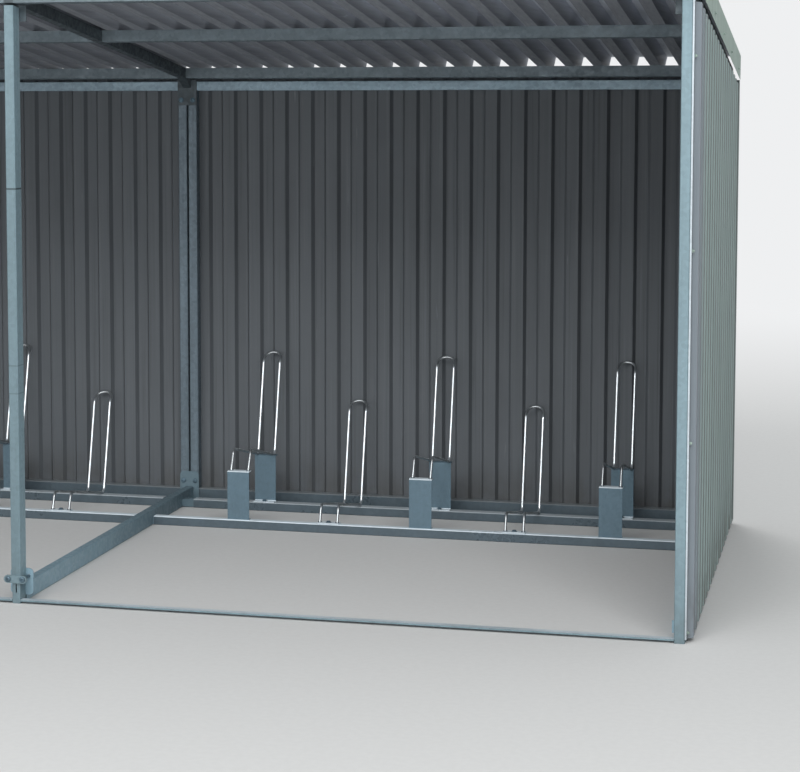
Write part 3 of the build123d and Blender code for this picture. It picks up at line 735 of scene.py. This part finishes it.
class SHELTER_OT_plate_bolts(bpy.types.Operator):
    """Bolts the ties and rafters to the back wall frame, and the clamp bar to the middle post"""

    bl_idname = "shelter.plate_bolts"
    bl_label = "Bolt the Plates"

    def execute(self, context):
        sizes = context.scene.shelter_fasteners
        look = context.scene.shelter_finishes
        flat, shank = sizes.bolt_flats / 2, sizes.bolt_shank / 2
        washer, head = shank * 1.9, 0.0046
        steel = zinc_finish(look, "Bolt zinc", look.stand_zinc, spangle=0.004, metal=0.6)
        head_profile = [
            (washer, -0.001, 0), (washer, 0.0012, 0), (washer * 0.96, 0.0016, 0), (flat * 0.98, 0.0016, 0),
            (flat * 0.98, head * 0.62, 0), (flat * 0.80, head * 0.92, 0), (flat * 0.58, head, 0),
            (flat * 0.44, head, 1), (flat * 0.42, head * 0.35, 1), (flat * 0.10, head * 0.33, 0),
        ]
        bolt = turned([(shank, -0.001, 0)] + head_profile, 24)
        clamp_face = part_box("foot_clamp")[0].y
        through = turned([(shank, clamp_face - POST_BACK_Y, 0), (shank, -0.0012, 0)] + head_profile, 24)
        heights = (middle("foot_clamp")[2], RAFTER_FOOT_Z + HEAD_BOLT_RISE)
        offset = sizes.bolt_spacing / 2
        left, centre, right = FRAME_X
        columns = (left + offset, centre - offset, centre + offset, right - offset)
        plate_face = STILE_FACE_Y - PLATE
        places = [(TURNS["-Y"], (x, plate_face, z)) for x in columns for z in heights]
        set_out("plate_bolts", bolt, places, steel)
        places = [(TURNS["-Y"], (x, clamp_face, heights[0])) for x in columns[1:3]]
        set_out("clamp_bolts", through, places, steel)
        return {"FINISHED"}


class SHELTER_OT_stand_bolts(bpy.types.Operator):
    """Bolts the rear stands and the base plates of the wheel holders to the rack rails"""

    bl_idname = "shelter.stand_bolts"
    bl_label = "Bolt the Stands"

    def execute(self, context):
        look = context.scene.shelter_finishes
        flat = context.scene.shelter_fasteners.bolt_flats * 0.40
        steel = zinc_finish(look, "Stand bolt zinc", look.stand_zinc, spangle=0.004, metal=0.6)
        bolt = turned([
            (flat * 0.5, -0.0005, 0), (flat * 1.55, -0.0005, 0), (flat * 1.55, 0.0010, 0), (flat * 1.5, 0.0014, 0),
            (flat, 0.0014, 1), (flat, 0.0050, 1), (flat * 0.88, 0.0058, 0.4), (flat * 0.4, 0.0058, 0),
        ], 18)
        low_seat = (middle("base_plates")[1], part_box("base_plates")[1].z)
        high_seat = (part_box("rear_stands")[0].y + STAND_FOOT / 2, RAIL_TOP_Z + STAND_PLATE)
        places = [
            (TURNS["+Z"], (middle(node)[0], *(low_seat if number % 2 else high_seat)))
            for number, node in enumerate(HOLDER_NODES, 1)
        ]
        set_out("stand_bolts", bolt, places, steel)
        return {"FINISHED"}


class SHELTER_OT_sheet_screws(bpy.types.Operator):
    """Screws the wall and roof sheets and the flashings to the frame"""

    bl_idname = "shelter.sheet_screws"
    bl_label = "Screw the Sheets"

    def execute(self, context):
        look = context.scene.shelter_finishes
        flat = context.scene.shelter_fasteners.screw_flats / 2
        steel = zinc_finish(look, "Screw zinc", look.trim_coat, spangle=0.003, metal=0.1)
        screw = turned([
            (flat * 0.8, -0.0003, 0), (flat * 1.75, -0.0003, 0), (flat * 1.8, 0.0012, 0), (flat * 1.5, 0.0022, 0),
            (flat, 0.0024, 1), (flat, 0.0062, 1), (flat * 0.8, 0.0070, 0.3),
        ], 12)
        margin = 0.03
        first = math.ceil((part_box("back_wall_left")[0].x + margin - WALL_FLAT_X) / RIB_PITCH)
        last = math.floor((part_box("back_wall_right")[1].x - margin - WALL_FLAT_X) / RIB_PITCH)
        columns = np.arange(first, last + 1) * RIB_PITCH + WALL_FLAT_X
        places = [
            (TURNS["+Y"], (x, STILE_BACK_Y + SHEET_SKIN, middle(rails)[2]))
            for rails in ("back_bottom_rails", "back_top_rails") for x in columns
        ]

        def both_ends(node, inset, depth, z):
            """The same spot on the two outer sides of a node, sunk by inset."""
            left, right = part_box(node)
            places.append((TURNS["+X"], (right.x - inset, FRONT_Y + depth, z)))
            places.append((TURNS["-X"], (left.x + inset, FRONT_Y + depth, z)))

        first, spacing, head_room = 0.03, 0.54, 0.05
        for depth in BATTEN_DEPTHS:
            for z in np.arange(first, roof_height(depth) - head_room, spacing):
                both_ends("side_battens", -SHEET_SKIN, depth, z)
        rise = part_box("front_purlins")[1].z - roof_height(0.0)
        columns = np.arange(-20, 20) * RIB_PITCH + ROOF_PAN_X
        for depth in PURLIN_DEPTHS:
            z = roof_height(depth) + rise + SHEET_SKIN
            places += [(ROOF_TURN, (x, FRONT_Y + depth, z)) for x in columns]
        for depth in np.arange(0.10, 1.80, 0.40):
            both_ends("verge_flashings", 0.001, depth, roof_height(depth) + rise - 0.012)
        set_out("sheet_screws", screw, places, steel)
        return {"FINISHED"}


class SHELTER_OT_rod_welds(bpy.types.Operator):
    """Welds the rods' feet to the stands and base plates"""

    bl_idname = "shelter.rod_welds"
    bl_label = "Weld the Rods"

    def execute(self, context):
        look = context.scene.shelter_finishes
        steel = zinc_finish(look, "Weld zinc", look.rail_zinc, spangle=0.006, metal=0.45)
        foot_radius, ripples = 0.0052, 11
        bead = ring_bead(foot_radius, context.scene.shelter_fasteners.weld_bead, ripples)
        places = []
        for number, node in enumerate(HOLDER_NODES, 1):
            points, along, foot_z = rod_line(number)
            foot = points[0] + along[0] * (foot_z - points[0, 2]) / along[0, 2]
            for side in (-1, 1):
                places.append((TURNS["+Z"], (middle(node)[0] + side * foot[0], FRONT_Y + foot[1], foot_z)))
        set_out("rod_welds", bead, places, steel)
        return {"FINISHED"}


class SHELTER_OT_studio(bpy.types.Operator):
    """Sets up the pale floor, the lamps and the camera"""

    bl_idname = "shelter.studio"
    bl_label = "Set Up the Studio"

    def lamp(self, name, place, aim, width, height, power):
        """Hangs a lamp of width by height at a place and turns it to what it aims at."""
        data = bpy.data.lights.new(name, "AREA")
        data.shape, data.size, data.size_y, data.energy = "RECTANGLE", width, height, power
        made = bpy.data.objects.new(name, data)
        bpy.context.scene.collection.objects.link(made)
        made.location = place
        made.rotation_euler = (Vector(aim) - Vector(place)).to_track_quat("-Z", "Y").to_euler()

    def execute(self, context):
        studio = context.scene.shelter_studio
        scene = context.scene
        scene.view_settings.view_transform = "Standard"

        radius, sides, sunk = 60, 96, 0.0006
        angle = np.arange(sides) * 2 * np.pi / sides
        rim = np.stack([radius * np.cos(angle), radius * np.sin(angle), np.full(sides, -sunk)], axis=-1)
        mesh = bpy.data.meshes.new("studio_floor")
        mesh.from_pydata(rim.tolist(), [], [list(range(sides))])
        floor_finish, tree, place, shader = start_finish("Studio floor")
        tone = tuple(studio.floor_tone)
        speck = cloud(tree, place, (0.02, 0.02, 0.02), 3.0)
        tree.links.new(mixed(tree, ramped(tree, speck, 0.3, 0.7), tinted(tone, 0.985), tinted(tone, 1.015)),
                       shader.inputs["Base Color"])
        shader.inputs["Roughness"].default_value = 0.9
        # Far from the shelter the floor fades into the backdrop
        glow = add_node(tree, "ShaderNodeEmission", {"Color": (*studio.backdrop_tone, 1.0), "Strength": 1.0})
        reach = add_node(tree, "ShaderNodeVectorMath", {0: place}, operation="LENGTH").outputs["Value"]
        fade = joined(tree, "MULTIPLY", ramped(tree, reach, 3.2, 9.0), backdrop_rays(tree))
        blend = add_node(tree, "ShaderNodeMixShader", {0: fade, 1: shader.outputs["BSDF"], 2: glow.outputs[0]})
        output = next(n for n in tree.nodes if n.type == "OUTPUT_MATERIAL")
        tree.links.new(blend.outputs[0], output.inputs["Surface"])
        mesh.materials.append(floor_finish)
        floor = bpy.data.objects.new("studio_floor", mesh)
        scene.collection.objects.link(floor)

        # The sky lights the shelter softly, but the camera sees the plain backdrop
        world = bpy.data.worlds.new("Studio")
        scene.world = world
        world.use_nodes = True
        tree = world.node_tree
        tree.nodes.clear()
        soft = add_node(tree, "ShaderNodeBackground", {"Color": (0.92, 0.96, 1.0, 1.0), "Strength": studio.sky})
        plain = add_node(tree, "ShaderNodeBackground", {"Color": (*studio.backdrop_tone, 1.0), "Strength": 1.0})
        blend = add_node(tree, "ShaderNodeMixShader", {
            0: backdrop_rays(tree), 1: soft.outputs[0], 2: plain.outputs[0],
        })
        output = add_node(tree, "ShaderNodeOutputWorld")
        tree.links.new(blend.outputs[0], output.inputs["Surface"])

        self.lamp("Key", (1.8, -8.0, 6.6), (0.2, 0.0, 0.6), 10.0, 3.5, studio.key)
        self.lamp("Fill", (-5.5, -8.0, 3.2), (0.0, 1.0, 0.9), 4.0, 3.0, studio.fill)
        self.lamp("Low", (4.0, -8.0, 0.9), (0.2, 0.6, 0.9), 8.0, 1.6, studio.low)
        self.lamp("Back", (-2.0, 8.0, 6.0), (0.0, 0.0, 0.8), 6.0, 4.0, studio.back)

        camera = bpy.data.objects.new("Camera", bpy.data.cameras.new("Camera"))
        scene.collection.objects.link(camera)
        camera.data.sensor_width = 36.0
        camera.data.lens = studio.lens
        camera.data.shift_x, camera.data.shift_y = studio.shift
        camera.data.clip_start, camera.data.clip_end = 0.1, 200.0
        x, y, z = studio.eye
        camera.matrix_world = (
            Matrix.Translation((x, FRONT_Y + y, z))
            @ Matrix.Rotation(studio.yaw, 4, "Z")
            @ Matrix.Rotation(math.pi / 2 + studio.pitch, 4, "X")
            @ Matrix.Rotation(studio.roll, 4, "Z")
        )
        scene.camera = camera
        return {"FINISHED"}


class SHELTER_PT_panel(bpy.types.Panel):
    """Lists the shelter's finishing steps"""

    bl_idname = "SHELTER_PT_panel"
    bl_label = "Bike Shelter"
    bl_space_type = "VIEW_3D"
    bl_region_type = "UI"
    bl_category = "Shelter"

    def draw(self, context):
        for operator in OPERATORS:
            self.layout.operator(operator.bl_idname)


GROUPS = (
    ("shelter_finishes", ShelterFinishes),
    ("shelter_fasteners", ShelterFasteners),
    ("shelter_studio", ShelterStudio),
)
OPERATORS = (
    SHELTER_OT_tube_finish, SHELTER_OT_sheet_finish, SHELTER_OT_holder_finish, SHELTER_OT_plate_bolts,
    SHELTER_OT_stand_bolts, SHELTER_OT_sheet_screws, SHELTER_OT_rod_welds, SHELTER_OT_studio,
)


def register():
    for name, group in GROUPS:
        bpy.utils.register_class(group)
        setattr(bpy.types.Scene, name, PointerProperty(type=group))
    for operator in OPERATORS:
        bpy.utils.register_class(operator)
    bpy.utils.register_class(SHELTER_PT_panel)


def unregister():
    bpy.utils.unregister_class(SHELTER_PT_panel)
    for operator in reversed(OPERATORS):
        bpy.utils.unregister_class(operator)
    for name, group in reversed(GROUPS):
        delattr(bpy.types.Scene, name)
        bpy.utils.unregister_class(group)


def main():
    """Registers the add-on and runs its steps."""
    register()
    bpy.ops.shelter.tube_finish()
    bpy.ops.shelter.sheet_finish()
    bpy.ops.shelter.holder_finish()
    bpy.ops.shelter.plate_bolts()
    bpy.ops.shelter.stand_bolts()
    bpy.ops.shelter.sheet_screws()
    bpy.ops.shelter.rod_welds()
    bpy.ops.shelter.studio()


if __name__ == "__main__":
    main()
